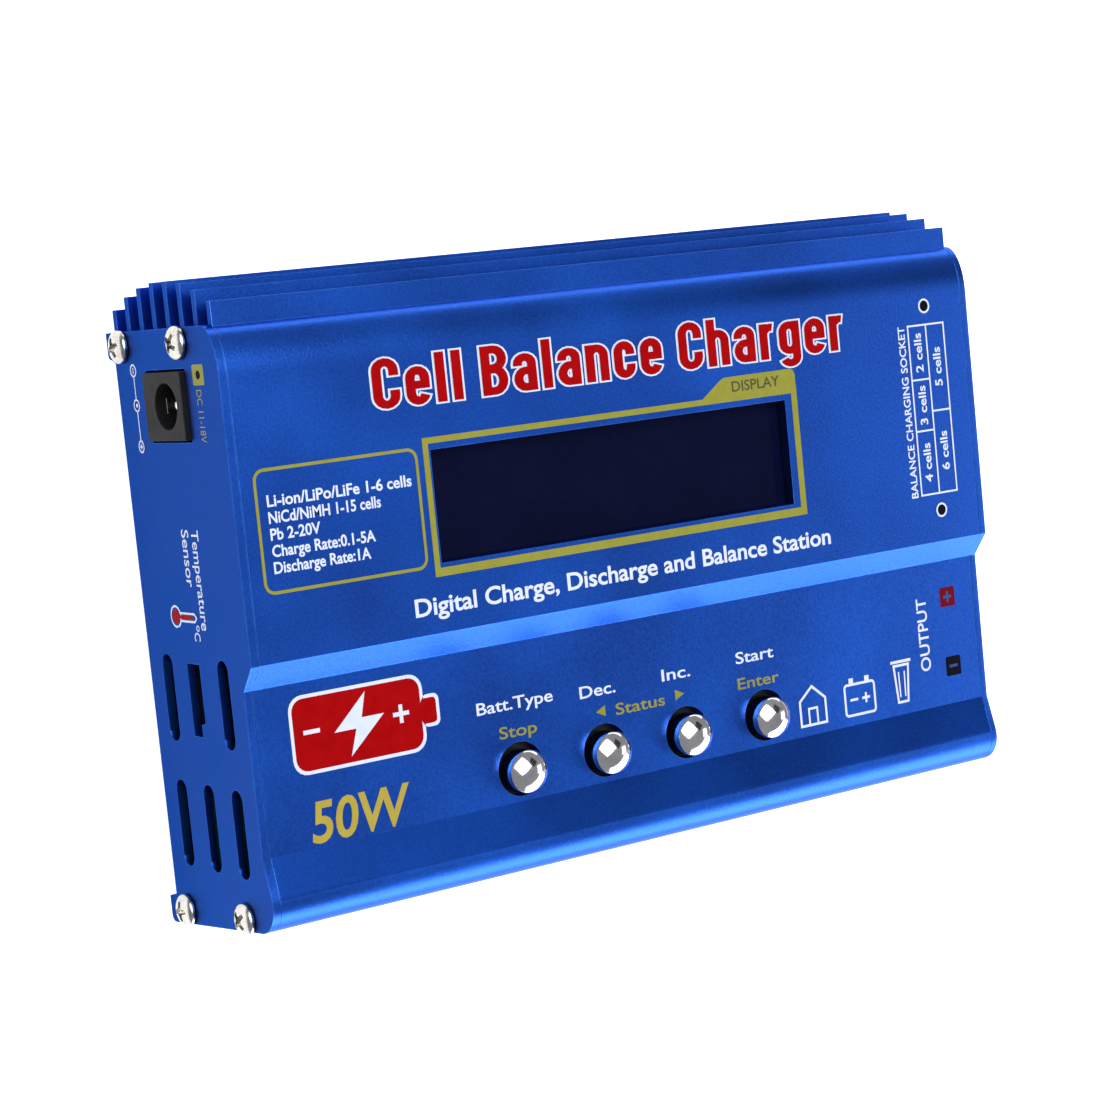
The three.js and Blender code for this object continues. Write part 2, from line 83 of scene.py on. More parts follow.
def grain_group():
    group, given, result = effect_group(
        "fine_grain", [("Grain Scale", 3000.0), ("Mottle Scale", 60.0)], ["Grain", "Mottle"])
    coordinate = group.nodes.new("ShaderNodeTexCoord")
    grain = noise(group, coordinate, given.outputs["Grain Scale"])
    mottle = noise(group, coordinate, given.outputs["Mottle Scale"], detail=2.0)
    group.links.new(ranged(group, grain, 0.3, 0.7), result.inputs["Grain"])
    group.links.new(ranged(group, mottle, 0.3, 0.7), result.inputs["Mottle"])
    return group


def edge_group():
    group, given, result = effect_group(
        "edge_wear_and_sheen", [("Width", 0.0003), ("Patch Scale", 500.0)], ["Edge"])
    # A band along every sharp edge, broken into random patches; the finishes paint it lighter,
    # partly as wear and partly as a painted highlight
    rounded = group.nodes.new("ShaderNodeBevel")
    rounded.samples = 4
    group.links.new(given.outputs["Width"], rounded.inputs["Radius"])
    flat = group.nodes.new("ShaderNodeNewGeometry")
    facing = group.nodes.new("ShaderNodeVectorMath")
    facing.operation = "DOT_PRODUCT"
    group.links.new(rounded.outputs["Normal"], facing.inputs[0])
    group.links.new(flat.outputs["Normal"], facing.inputs[1])
    near_edge = ranged(group, facing.outputs["Value"], 0.995, 0.9)
    coordinate = group.nodes.new("ShaderNodeTexCoord")
    patches = noise(group, coordinate, given.outputs["Patch Scale"])
    broken = ranged(group, patches, 0.35, 0.6, 0.35, 1.0)
    product = group.nodes.new("ShaderNodeMath")
    product.operation = "MULTIPLY"
    group.links.new(near_edge, product.inputs[0])
    group.links.new(broken, product.inputs[1])
    group.links.new(product.outputs["Value"], result.inputs["Edge"])
    return group


fine_grain = grain_group()
edge_wear_and_sheen = edge_group()


def finish(name, color, second, roughness, metallic=0.0, grain=3000.0, mottle=60.0,
           rough_spread=0.08, bump=0.1, bump_depth=0.00002, edge_color=None,
           edge_width=0.0003, specular=0.5, mottle_share=0.5, glancing=(1.0, 1.0, 1.0),
           coat=0.0):
    """A finish whose colour, gloss and surface all vary finely, with lighter edges that are partly
    wear and partly a painted highlight.
    """
    material = bpy.data.materials.new(name)
    material.use_nodes = True
    tree = material.node_tree
    shader = tree.nodes["Principled BSDF"]
    shader.inputs["Metallic"].default_value = metallic
    shader.inputs["Specular IOR Level"].default_value = specular
    shader.inputs["Specular Tint"].default_value = (*glancing, 1)
    shader.inputs["Coat Weight"].default_value = coat
    shader.inputs["Coat Roughness"].default_value = 0.28
    detail = tree.nodes.new("ShaderNodeGroup")
    detail.node_tree = fine_grain
    detail.inputs["Grain Scale"].default_value = grain
    detail.inputs["Mottle Scale"].default_value = mottle
    fine = tree.nodes.new("ShaderNodeMath")
    fine.operation = "MULTIPLY"
    fine.inputs[1].default_value = 1.0 - mottle_share
    tree.links.new(detail.outputs["Grain"], fine.inputs[0])
    blend = tree.nodes.new("ShaderNodeMath")
    blend.operation = "MULTIPLY_ADD"
    blend.inputs[1].default_value = mottle_share
    tree.links.new(detail.outputs["Mottle"], blend.inputs[0])
    tree.links.new(fine.outputs["Value"], blend.inputs[2])
    tint = tree.nodes.new("ShaderNodeMix")
    tint.data_type = "RGBA"
    tint.inputs[6].default_value = (*color, 1)
    tint.inputs[7].default_value = (*second, 1)
    tree.links.new(blend.outputs["Value"], tint.inputs["Factor"])
    shown = tint.outputs[2]
    # Lighter colour along the edges: partly wear, partly a painted highlight
    if edge_color:
        edges = tree.nodes.new("ShaderNodeGroup")
        edges.node_tree = edge_wear_and_sheen
        edges.inputs["Width"].default_value = edge_width
        sheen_and_wear_mix = tree.nodes.new("ShaderNodeMix")
        sheen_and_wear_mix.data_type = "RGBA"
        sheen_and_wear_mix.inputs[7].default_value = (*edge_color, 1)
        tree.links.new(edges.outputs["Edge"], sheen_and_wear_mix.inputs["Factor"])
        tree.links.new(shown, sheen_and_wear_mix.inputs[6])
        shown = sheen_and_wear_mix.outputs[2]
    tree.links.new(shown, shader.inputs["Base Color"])
    rough = ranged(tree, detail.outputs["Mottle"], 0.0, 1.0,
                   roughness - rough_spread / 2, roughness + rough_spread / 2)
    tree.links.new(rough, shader.inputs["Roughness"])
    relief = tree.nodes.new("ShaderNodeBump")
    relief.inputs["Strength"].default_value = bump
    relief.inputs["Distance"].default_value = bump_depth
    tree.links.new(detail.outputs["Grain"], relief.inputs["Height"])
    tree.links.new(relief.outputs["Normal"], shader.inputs["Normal"])
    return material


def made_mesh(work, name):
    """Turns a finished bmesh into a named mesh."""
    mesh = bpy.data.meshes.new(name)
    work.to_mesh(mesh)
    work.free()
    return mesh


def place_piece(name, mesh, material, body="case", instead_of=()):
    """Puts a finished mesh in the scene, on its body and in its slot."""
    mesh.materials.clear()
    mesh.materials.append(material)
    piece = bpy.data.objects.new(name, mesh)
    bpy.context.scene.collection.objects.link(piece)
    even = piece.modifiers.new("even_faces", "WEIGHTED_NORMAL")
    even.mode = "FACE_AREA"
    even.weight = 90
    even.keep_sharp = True
    if instead_of:
        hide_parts(*instead_of)
    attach(piece, body)
    return piece


def eased_copy(node, material, ease):
    """The node's own shape with its sharp edges eased by a small radius."""
    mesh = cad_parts[node].data.copy()
    mesh.name = node + "_finished"
    work = bmesh.new()
    work.from_mesh(mesh)
    bmesh.ops.remove_doubles(work, verts=work.verts, dist=1e-6)
    bmesh.ops.dissolve_limit(work, angle_limit=math.radians(1.0), verts=work.verts,
                             edges=work.edges)
    sharp = [edge for edge in work.edges
             if len(edge.link_faces) == 2 and edge.calc_face_angle() > math.radians(28)]
    bmesh.ops.bevel(work, geom=sharp, offset=ease, offset_type="OFFSET", segments=2,
                    profile=0.5, affect="EDGES", clamp_overlap=True)
    for face in work.faces:
        face.smooth = True
    work.to_mesh(mesh)
    work.free()
    if "custom_normal" in mesh.attributes:
        mesh.attributes.remove(mesh.attributes["custom_normal"])
    mesh.set_sharp_from_angle(angle=math.radians(32))
    return place_piece(node + "_finished", mesh, material, "case", (node,))


# The lighter edge colours of the case finishes are painted highlights along the edges
blue_shell = finish("blue_shell", (0.004, 0.060, 0.40), (0.010, 0.102, 0.57), 0.33,
                    metallic=1.0, grain=2600, mottle=45, rough_spread=0.08, bump=0.35,
                    bump_depth=0.00003, edge_color=(0.035, 0.17, 0.70), edge_width=0.0003,
                    mottle_share=0.3, glancing=(0.3, 0.5, 0.9), coat=0.3)
# A darker copy of the case finish for the sloping band: painted shade standing in for the band's
# darker reflection
slope_painted_shade = finish("slope_painted_shade", (0.003, 0.045, 0.31), (0.007, 0.072, 0.43), 0.30,
                    metallic=1.0, grain=2600, mottle=45, rough_spread=0.06, bump=0.25,
                    mottle_share=0.3, glancing=(0.2, 0.4, 0.8), coat=0.15)
blue_plate = finish("blue_plate", (0.021, 0.041, 0.172), (0.029, 0.053, 0.22), 0.42,
                    metallic=1.0, glancing=(0.3, 0.5, 0.9), grain=3200, mottle=70,
                    rough_spread=0.08, bump=0.3, edge_color=(0.045, 0.11, 0.42),
                    edge_width=0.00025, mottle_share=0.3)
FOLD_Y = -33.0
FOLD_LOWEST_Z = 29.3
for cover, ease in (("top_cover", 0.16), ("bottom_cover", 0.14)):
    extrusion = eased_copy(cover, blue_shell, ease * MM)
    extrusion.data.materials.append(blue_plate)
    extrusion.data.materials.append(slope_painted_shade)
    for face in extrusion.data.polygons:
        if abs(face.normal.x) > 0.95:
            face.material_index = 1
        # Faces of the sloping band take the painted-shade copy of the finish
        elif face.normal.y > 0.12 and face.normal.z > 0.9 and face.center.y < FOLD_Y * MM:
            face.material_index = 2
    # The fold where the lower panel turns up into the sloping band stays crisp,
    # and the band beyond it carries a deeper blue, which is painted shade
    crisp = extrusion.data.attributes["sharp_edge"].data
    points = [vertex.co for vertex in extrusion.data.vertices]
    for edge in extrusion.data.edges:
        ends = [points[index] for index in edge.vertices]
        if all(abs(end.y - FOLD_Y * MM) < 0.1 * MM and end.z > FOLD_LOWEST_Z * MM
               for end in ends):
            crisp[edge.index].value = True


# ---------------------------------------------------------------------------
# The end plates: 1.2 mm aluminium sheet, punched for the vents and sockets
# and anodised with the case. The punch leaves a soft rounded edge outside.
# ---------------------------------------------------------------------------
for plate in ("end_plate_input", "end_plate_output"):
    sheet_piece = eased_copy(plate, blue_plate, 0.18 * MM)
    sheet_piece.data.materials.append(blue_shell)
    for face in sheet_piece.data.polygons:
        if abs(face.normal.x) < 0.6:
            face.material_index = 1


# ---------------------------------------------------------------------------
# The end screws: nickel-plated steel pan heads, cold-formed, with a punched
# cross recess. Four hold each end plate to channels in the extrusions.
# ---------------------------------------------------------------------------
def arc(middle, height, radius, start, stop, steps):
    """Points of a (radius, height) profile along a circle, angles in degrees."""
    points = []
    for step in range(steps + 1):
        angle = math.radians(start + (stop - start) * step / steps)
        points.append((middle + radius * math.cos(angle), height + radius * math.sin(angle)))
    return points


def turned_mesh(name, profile, place, axis, sides=64, sharp=30):
    """A turned mesh from (radius, height) pairs in mm; it stands at place along axis."""
    work = bmesh.new()
    rings = []
    for radius, height in profile:
        if radius < 1e-4:
            rings.append([work.verts.new((0, 0, height * MM))])
            continue
        ring = []
        for side in range(sides):
            angle = 2 * math.pi * side / sides
            ring.append(work.verts.new((radius * MM * math.cos(angle),
                                        radius * MM * math.sin(angle), height * MM)))
        rings.append(ring)
    for low, high in zip(rings, rings[1:]):
        for side in range(sides):
            after = (side + 1) % sides
            corners = [low[side % len(low)], low[after % len(low)],
                       high[after % len(high)], high[side % len(high)]]
            unique = list(dict.fromkeys(corners))
            if len(unique) > 2:
                work.faces.new(unique)
    bmesh.ops.remove_doubles(work, verts=work.verts, dist=1e-7)
    bmesh.ops.recalc_face_normals(work, faces=work.faces)
    for face in work.faces:
        face.smooth = True
    turn = Vector((0, 0, 1)).rotation_difference(Vector(axis)).to_matrix().to_4x4()
    middle = Matrix.Translation(Vector(place) * MM)
    bmesh.ops.transform(work, matrix=middle @ turn, verts=work.verts)
    mesh = made_mesh(work, name)
    mesh.set_sharp_from_angle(angle=math.radians(sharp))
    return mesh


def block(work, low, high):
    """Adds a box between two corners, in mm, to a bmesh."""
    low, high = Vector(low) * MM, Vector(high) * MM
    made = bmesh.ops.create_cube(work, size=1.0)["verts"]
    bmesh.ops.scale(work, vec=high - low, verts=made)
    bmesh.ops.translate(work, vec=(low + high) / 2, verts=made)


def cut_mesh(mesh, cutter):
    """The mesh with the cutter's shape taken out of it."""
    whole = bpy.data.objects.new("whole", mesh)
    tool = bpy.data.objects.new("cutter", cutter)
    for thing in (whole, tool):
        bpy.context.scene.collection.objects.link(thing)
    cut = whole.modifiers.new("cut", "BOOLEAN")
    cut.object = tool
    cut.solver = "EXACT"
    bpy.context.view_layer.update()
    shaped = bpy.data.meshes.new_from_object(
        whole.evaluated_get(bpy.context.evaluated_depsgraph_get()))
    shaped.name = mesh.name
    bpy.data.objects.remove(whole)
    bpy.data.objects.remove(tool)
    return shaped


SCREW_HEAD = 2.35
# The pale edge colour paints a highlight ring round each head
screw_nickel = finish("screw_nickel", (0.34, 0.32, 0.29), (0.58, 0.56, 0.53), 0.22,
                      metallic=1.0, grain=5000, mottle=900, rough_spread=0.14, bump=0.25,
                      edge_color=(0.85, 0.84, 0.80), edge_width=0.00012)
for end in ("input", "output"):
    out = -1 if end == "input" else 1
    for index, corner in enumerate(("rear_low", "rear_high", "front_low", "front_high")):
        node = f"end_screw_{end}_{corner}"
        low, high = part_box(node)
        seat = out * 66.5
        middle = ((low + high) / 2) / MM
        dome = arc(0, 0.45, 1.0, 0, 90, 10)
        profile = [(0, -7.9), (0.6, -7.9), (1.0, -7.0), (1.0, 0.1), (SCREW_HEAD - 0.1, 0.1),
                   (SCREW_HEAD, 0.2)]
        profile += [(SCREW_HEAD * radius, 0.45 + (height - 0.45) * 1.03)
                    for radius, height in dome[:-1]]
        profile.append((0, 1.48))
        shape = turned_mesh(node + "_turned", profile, (seat, middle.y, middle.z), (out, 0, 0), 48)
        tool = bmesh.new()
        lean = Matrix.Rotation(math.radians(20 + 37 * index), 4, "Z")
        stand = Vector((0, 0, 1)).rotation_difference(Vector((out, 0, 0))).to_matrix().to_4x4()
        put = Matrix.Translation(Vector((seat, middle.y, middle.z)) * MM) @ stand @ lean
        plus = [(1.45, 0.34), (0.62, 0.42), (0.42, 0.62), (0.34, 1.45)]
        outline = []
        for quarter in range(4):
            spin = Matrix.Rotation(math.radians(90 * quarter), 3, "Z")
            outline += [spin @ Vector((a, b, 0.6)) for a, b in plus]
        base = tool.faces.new([tool.verts.new(point * MM) for point in outline])
        pulled = bmesh.ops.extrude_face_region(tool, geom=[base])["geom"]
        bmesh.ops.translate(tool, vec=(0, 0, 2 * MM),
                            verts=[item for item in pulled if isinstance(item, bmesh.types.BMVert)])
        bmesh.ops.transform(tool, matrix=put, verts=tool.verts)
        bmesh.ops.recalc_face_normals(tool, faces=tool.faces)
        cutter = made_mesh(tool, "cross")
        shape = cut_mesh(shape, cutter)
        shape.set_sharp_from_angle(angle=math.radians(35))
        place_piece(node + "_turned", shape, screw_nickel, "case", (node,))


# ---------------------------------------------------------------------------
# The panel print: two-part epoxy inks, screen printed onto the anodised face
# in one pass per colour. Each ink film is a few hundredths of a millimetre
# thick, slightly raised, with a soft satin surface.
# ---------------------------------------------------------------------------
def ink(name, color):
    second = tuple(min(1.0, channel * 1.18 + 0.01) for channel in color)
    return finish(name, color, second, 0.5, 0.0, grain=6000, mottle=500,
                  rough_spread=0.12, bump=0.12, specular=0.15)


def new_pen():
    """Points and faces gathered for one ink, before they are laid on a surface."""
    return {"points": [], "faces": []}


def fill(pen, points, raised=0.0):
    start = len(pen["points"])
    pen["points"] += [(u, v, raised) for u, v in points]
    pen["faces"].append(list(range(start, start + len(points))))


STROKE_LIFT = 0.0012
STROKE_LAYERS = 48


def stroke(pen, points, width, closed=False, raised=0.0):
    """A line of even width with mitred corners; each piece lies a hair above the last."""
    count = len(points)
    sides = []
    for index, (u, v) in enumerate(points):
        before = points[index - 1] if closed or index else None
        after = points[(index + 1) % count] if closed or index < count - 1 else None
        here = Vector((u, v))
        into = (here - Vector(before)).normalized() if before else None
        onward = (Vector(after) - here).normalized() if after else None
        into = into or onward
        onward = onward or into
        along = (into + onward).normalized()
        side = Vector((-along.y, along.x))
        spread = width / 2 / max(0.3, side.dot(Vector((-into.y, into.x))))
        sides.append((here + side * spread, here - side * spread))
    pairs = list(zip(sides, sides[1:]))
    if closed:
        pairs.append((sides[-1], sides[0]))
    for (a_left, a_right), (b_left, b_right) in pairs:
        layer = raised + STROKE_LIFT * (len(pen["faces"]) % STROKE_LAYERS)
        fill(pen, [tuple(a_left), tuple(a_right), tuple(b_right), tuple(b_left)], layer)


def rounded_box(u0, u1, v0, v1, radius):
    steps = 5
    points = []
    for u, v, start in ((u1 - radius, v1 - radius, 0), (u0 + radius, v1 - radius, 90),
                        (u0 + radius, v0 + radius, 180), (u1 - radius, v0 + radius, 270)):
        for step in range(steps + 1):
            angle = math.radians(start + 90 * step / steps)
            points.append((u + radius * math.cos(angle), v + radius * math.sin(angle)))
    return points


def circle(u, v, radius, steps=28):
    return [(u + radius * math.cos(2 * math.pi * step / steps),
             v + radius * math.sin(2 * math.pi * step / steps)) for step in range(steps)]


def letter_mesh(text, weight):
    outline = bpy.data.curves.new("letters", "FONT")
    outline.body = text
    outline.offset = weight
    outline.resolution_u = 4
    holder = bpy.data.objects.new("letters", outline)
    bpy.context.scene.collection.objects.link(holder)
    bpy.context.view_layer.update()
    mesh = bpy.data.meshes.new_from_object(
        holder.evaluated_get(bpy.context.evaluated_depsgraph_get()))
    points = [(vertex.co.x, vertex.co.y) for vertex in mesh.vertices]
    faces = [list(polygon.vertices) for polygon in mesh.polygons]
    bpy.data.objects.remove(holder)
    bpy.data.curves.remove(outline)
    bpy.data.meshes.remove(mesh)
    return points, faces


def extent(text):
    points = letter_mesh(text, 0.0)[0]
    return min(p[0] for p in points), max(p[0] for p in points)


CAP_OF_FONT = max(point[1] for point in letter_mesh("H", 0.0)[0])


def letters(pen, text, at, width, cap, turn=0, centred=False, weight=0.0, lean=0.0, raised=0.0):
    """Text whose baseline starts at a point, scaled to a width and a capital height in mm."""
    left, right = extent(text)
    across = width / (right - left)
    rise = cap / CAP_OF_FONT
    points, faces = letter_mesh(text, weight)
    start = len(pen["points"])
    c, s = math.cos(math.radians(turn)), math.sin(math.radians(turn))
    shift = -width / 2 if centred else 0.0
    for x, y in points:
        along = (x - left) * across + shift + lean * y * rise
        height = y * rise
        pen["points"].append((at[0] + along * c - height * s, at[1] + along * s + height * c,
                              raised))
    pen["faces"] += [[start + index for index in face] for face in faces]


def lay(name, pen, surface, material):
    """Lays the gathered ink on a surface; surface turns (u, v, raised) in mm into a point."""
    mesh = bpy.data.meshes.new(name)
    mesh.from_pydata([Vector(surface(*point)) * MM for point in pen["points"]], [],
                     pen["faces"])
    mesh.update()
    return place_piece(name, mesh, material)


PANEL_STEP = 2.9
TOP_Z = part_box("top_cover")[1].z / MM
LOW_Z = TOP_Z - PANEL_STEP
INK_LIFT = 0.012


def upper_panel(u, v, raised):
    return u, v, TOP_Z + INK_LIFT + raised


def lower_panel(u, v, raised):
    return u, v, LOW_Z + INK_LIFT + raised


white_ink = ink("white_ink", (0.41, 0.45, 0.54))
olive_ink = ink("olive_ink", (0.165, 0.160, 0.014))
red_ink = finish("red_ink", (0.20, 0.0005, 0.001), (0.27, 0.001, 0.002), 0.5, 0.0, grain=6000,
                 mottle=500, rough_spread=0.12, bump=0.12, specular=0.02)
gold_ink = ink("gold_ink", (0.26, 0.20, 0.022))
shade_ink = ink("shade_ink", (0.040, 0.038, 0.016))
dark_red_ink = finish("dark_red_ink", (0.085, 0.001, 0.006), (0.110, 0.002, 0.008), 0.5,
                      grain=6000, mottle=500, rough_spread=0.12, bump=0.12, specular=0.03)
blue_ink = ink("blue_ink", (0.010, 0.030, 0.14))
black_ink = finish("black_ink", (0.002, 0.002, 0.004), (0.004, 0.004, 0.007), 0.5, grain=6000,
                   mottle=500, rough_spread=0.12, bump=0.12, specular=0.02)

# Title: heavy narrow red letters, drawn stroke by stroke, with a white edge all round
def bow(u, v, across, rise, start, stop, steps=8):
    """Points along part of an ellipse, angles in degrees."""
    return [(u + across * math.cos(math.radians(start + (stop - start) * step / steps)),
             v + rise * math.sin(math.radians(start + (stop - start) * step / steps)))
            for step in range(steps + 1)]


def arch(width):
    """The shoulder and right leg shared by n and h."""
    return bow(width / 2, 3.7, width / 2 - 0.907, 1.05, 150, 0, 8) + [(width - 0.907, 0.0)]


# Each letter: its advance, then the middle lines of its strokes, before widening
THICK = 1.1
TITLE_LETTERS = {
    "C": (3.79, [[(2.883, 4.45)] + bow(1.895, 5.2, 0.988, 1.15, 0, 180)
                 + bow(1.895, 1.7, 0.988, 1.15, 180, 360) + [(2.883, 2.45)]]),
    "e": (3.50, [[(0.907, 2.75), (2.593, 2.75)] + bow(1.75, 3.7, 0.843, 1.05, 0, 180)
                 + bow(1.75, 1.6, 0.843, 1.05, 180, 345)]),
    "l": (1.93, [[(0.965, 0), (0.965, 6.9)]]),
    "B": (3.86, [[(0.907, 0), (0.907, 6.9)],
                 [(0.907, 6.35)] + bow(1.9, 5.05, 1.0, 1.3, 90, -90) + [(0.907, 3.75)],
                 [(0.907, 3.55)] + bow(1.95, 2.05, 1.0, 1.5, 90, -90) + [(0.907, 0.55)]]),
    "a": (3.50, [[(0.907, 3.6)] + bow(1.75, 3.9, 0.843, 0.85, 180, 0) + [(2.593, 0)],
                 [(2.593, 2.85)] + bow(1.75, 1.7, 0.843, 1.15, 90, 270) + [(2.593, 0.55)]]),
    "n": (3.57, [[(0.907, 0), (0.907, 5.3)], arch(3.57)]),
    "c": (3.36, [[(2.453, 3.35)] + bow(1.68, 3.7, 0.773, 1.05, 0, 180)
                 + bow(1.68, 1.6, 0.773, 1.05, 180, 360) + [(2.453, 1.95)]]),
    "h": (3.57, [[(0.907, 0), (0.907, 6.9)], arch(3.57)]),
    "r": (2.64, [[(0.907, 0), (0.907, 5.3)], bow(1.9, 3.6, 0.95, 1.15, 150, 75, 5)]),
    "g": (3.57, [bow(1.785, 3.7, 0.878, 1.05, 0, 180) + bow(1.785, 1.9, 0.878, 0.95, 180, 360)
                 + [(2.663, 3.6)],
                 [(2.663, 5.3)] + bow(1.785, -0.1, 0.878, 0.85, 0, -165)]),
    " ": (1.57, []),
}


def heavy_words(pen, words, at, width, spread, raised):
    """Writes the drawn letters; spread widens every stroke, for the edge behind them."""
    across = width / sum(TITLE_LETTERS[letter][0] for letter in words)
    drawn = new_pen()
    u = 0.0
    for letter in words:
        advance, strokes = TITLE_LETTERS[letter]
        for line in strokes:
            points = [(u + a, b) for a, b in line]
            for end, inner in ((0, 1), (-1, -2)):
                away = (Vector(points[end]) - Vector(points[inner])).normalized() * spread
                points[end] = tuple(Vector(points[end]) + away)
            stroke(drawn, points, THICK + 2 * spread, raised=raised)
        u += advance
    start = len(pen["points"])
    pen["points"] += [(at[0] + a * across, at[1] + b, lift) for a, b, lift in drawn["points"]]
    pen["faces"] += [[start + index for index in face] for face in drawn["faces"]]


TITLE = "Cell Balance Charger"
title_edge = new_pen()
heavy_words(title_edge, TITLE, (-43.9, 25.2), 85.0, 0.25, 0.0)
lay("title_edge", title_edge, upper_panel, white_ink)
title = new_pen()
heavy_words(title, TITLE, (-43.9, 25.2), 85.0, 0.0, 0.08)
lay("title_letters", title, upper_panel, red_ink)

# Olive frame round the display, with a tab over its right half
frame_print = new_pen()
for corners in (((-36.4, 1.2), (30.5, 2.4)), ((-36.4, 19.7), (30.5, 20.55)),
                ((-36.4, 2.4), (-35.5, 19.7)), ((29.4, 2.4), (30.5, 19.7))):
    (u0, v0), (u1, v1) = corners
    fill(frame_print, [(u0, v0), (u1, v0), (u1, v1), (u0, v1)])
fill(frame_print, [(12.6, 20.55), (30.45, 20.55), (30.45, 22.5), (30.2, 23.1), (29.6, 23.4),
                   (16.9, 23.35), (16.0, 22.9)])
stroke(frame_print, rounded_box(-63, -37.6, 2.75, 19.25, 1.4), 0.45, closed=True)
lay("display_frame_print", frame_print, upper_panel, olive_ink)
tab_words = new_pen()
letters(tab_words, "DISPLAY", (22.8, 21.1), 9.0, 1.5, centred=True, weight=0.012, raised=0.012)
lay("display_tab_words", tab_words, upper_panel, shade_ink)

# Ratings in the box at the left, and the line under the display
notes = new_pen()
RATINGS = (("Li-ion/LiPo/LiFe 1-6 cells", 22.6), ("NiCd/NiMH 1-15 cells", 17.4),
           ("Pb 2-20V", 7.6), ("Charge Rate:0.1-5A", 16.0), ("Discharge Rate:1A", 15.0))
for line, (words, width) in enumerate(RATINGS):
    letters(notes, words, (-61.4, 14.3 - 2.25 * line), width, 1.5, weight=0.022)
letters(notes, "Digital Charge, Discharge and Balance Station", (-40.2, -3.85), 74.7, 2.4,
        weight=0.020)

# Table of the balance sockets, read from the output end
CELL_TEXT = 1.45
stroke(notes, [(53.7, 1.0), (61.1, 1.0), (61.1, 27.45), (53.7, 27.45)], 0.28, closed=True)
stroke(notes, [(57.4, 1.0), (57.4, 27.45)], 0.28)
for v in (19.0, 11.0):
    stroke(notes, [(53.7, v), (57.4, v)], 0.28)
stroke(notes, [(57.4, 13.9), (61.1, 13.9)], 0.28)
for words, u, v in (("4 cells", 56.3, 6.0), ("3 cells", 56.3, 15.0), ("2 cells", 56.3, 23.2),
                    ("6 cells", 60.0, 7.5), ("5 cells", 60.0, 20.7)):
    letters(notes, words, (u, v), 6.0, CELL_TEXT, turn=90, centred=True, weight=0.018)
letters(notes, "BALANCE CHARGING SOCKET", (53.0, 14.15), 26.7, 1.3, turn=90, centred=True,
        weight=0.016)
for u, v in ((57.45, 30.35), (57.55, -1.7)):
    stroke(notes, circle(u, v, 1.0), 0.3, closed=True)
lay("upper_notes", notes, upper_panel, white_ink)
eyes = new_pen()
for u, v in ((57.45, 30.35), (57.55, -1.7)):
    fill(eyes, circle(u, v, 0.85))
lay("table_eyes", eyes, upper_panel, black_ink)

# Lower panel: names of the buttons, the outputs and three plain pictograms
labels = new_pen()
letters(labels, "Batt.Type", (-30.2, -19.6), 13.0, 1.7, weight=0.012)
letters(labels, "Dec.", (-12.4, -20.2), 6.3, 1.7, weight=0.012)
letters(labels, "Inc.", (2.5, -20.1), 5.2, 1.7, weight=0.012)
letters(labels, "Start", (16.5, -19.8), 7.2, 1.7, weight=0.012)
letters(labels, "OUTPUT", (55.1, -27.0), 11.5, 2.0, turn=90, weight=0.012)
stroke(labels, [(27.95, -31.4), (33.0, -31.4), (33.0, -27.6), (30.5, -25.5), (27.95, -27.6)],
       0.4, closed=True)
stroke(labels, [(29.6, -31.4), (29.6, -28.9), (31.3, -28.9), (31.3, -31.4)], 0.35)
stroke(labels, rounded_box(37.0, 43.0, -31.4, -26.6, 0.5), 0.4, closed=True)
for u in (38.4, 41.6):
    stroke(labels, [(u, -26.5), (u, -25.6)], 0.9)
stroke(labels, [(38.0, -29.0), (39.6, -29.0)], 0.4)
stroke(labels, [(40.4, -29.0), (42.0, -29.0)], 0.4)
stroke(labels, [(41.2, -29.8), (41.2, -28.2)], 0.4)
stroke(labels, [(47.3, -25.2), (47.8, -31.0), (49.8, -31.0), (50.3, -25.2)], 0.4, closed=True)
stroke(labels, [(46.7, -24.6), (50.9, -24.6)], 0.45)
for u in (48.2, 49.4):
    stroke(labels, [(u, -26.2), (u + (48.8 - u) * 0.15, -30.2)], 0.28)
lay("lower_labels", labels, lower_panel, white_ink)

second_labels = new_pen()
letters(second_labels, "Stop", (-26.8, -23.6), 6.4, 1.65, weight=0.012)
letters(second_labels, "Status", (-6.3, -23.6), 8.9, 1.65, weight=0.012)
letters(second_labels, "Enter", (16.45, -23.7), 7.9, 1.65, weight=0.012)
fill(second_labels, [(-9.9, -22.6), (-8.2, -21.8), (-8.2, -23.4)])
fill(second_labels, [(6.3, -22.5), (4.6, -23.3), (4.6, -21.7)])
lay("second_labels", second_labels, lower_panel, olive_ink)

power = new_pen()
letters(power, "50W", (-58.4, -32.3), 15.0, 5.4, weight=0.02, lean=0.12)
lay("power_words", power, lower_panel, gold_ink)

# Battery and lightning bolt at the left of the lower panel
badge_edge = new_pen()
fill(badge_edge, rounded_box(-60.2, -38.8, -22.9, -11.9, 2.2))
fill(badge_edge, rounded_box(-39.1, -36.3, -19.7, -15.1, 0.9))
lay("badge_edge", badge_edge, lower_panel, white_ink)
badge = new_pen()
fill(badge, rounded_box(-59.7, -39.3, -22.4, -12.4, 1.8), 0.012)
fill(badge, rounded_box(-39.3, -36.8, -19.2, -15.6, 0.6), 0.012)
lay("badge_field", badge, lower_panel, red_ink)
bolt = new_pen()
fill(bolt, [(-48.0, -13.0), (-53.4, -17.9), (-49.9, -17.9), (-51.1, -21.6), (-45.3, -16.5),
            (-48.9, -16.5)], 0.024)
for u in (-56.9, -42.6):
    stroke(bolt, [(u - 1.3, -17.1), (u + 1.3, -17.1)], 0.6, raised=0.024)
stroke(bolt, [(-42.6, -18.4), (-42.6, -15.8)], 0.6, raised=0.024)
lay("badge_bolt", bolt, lower_panel, white_ink)

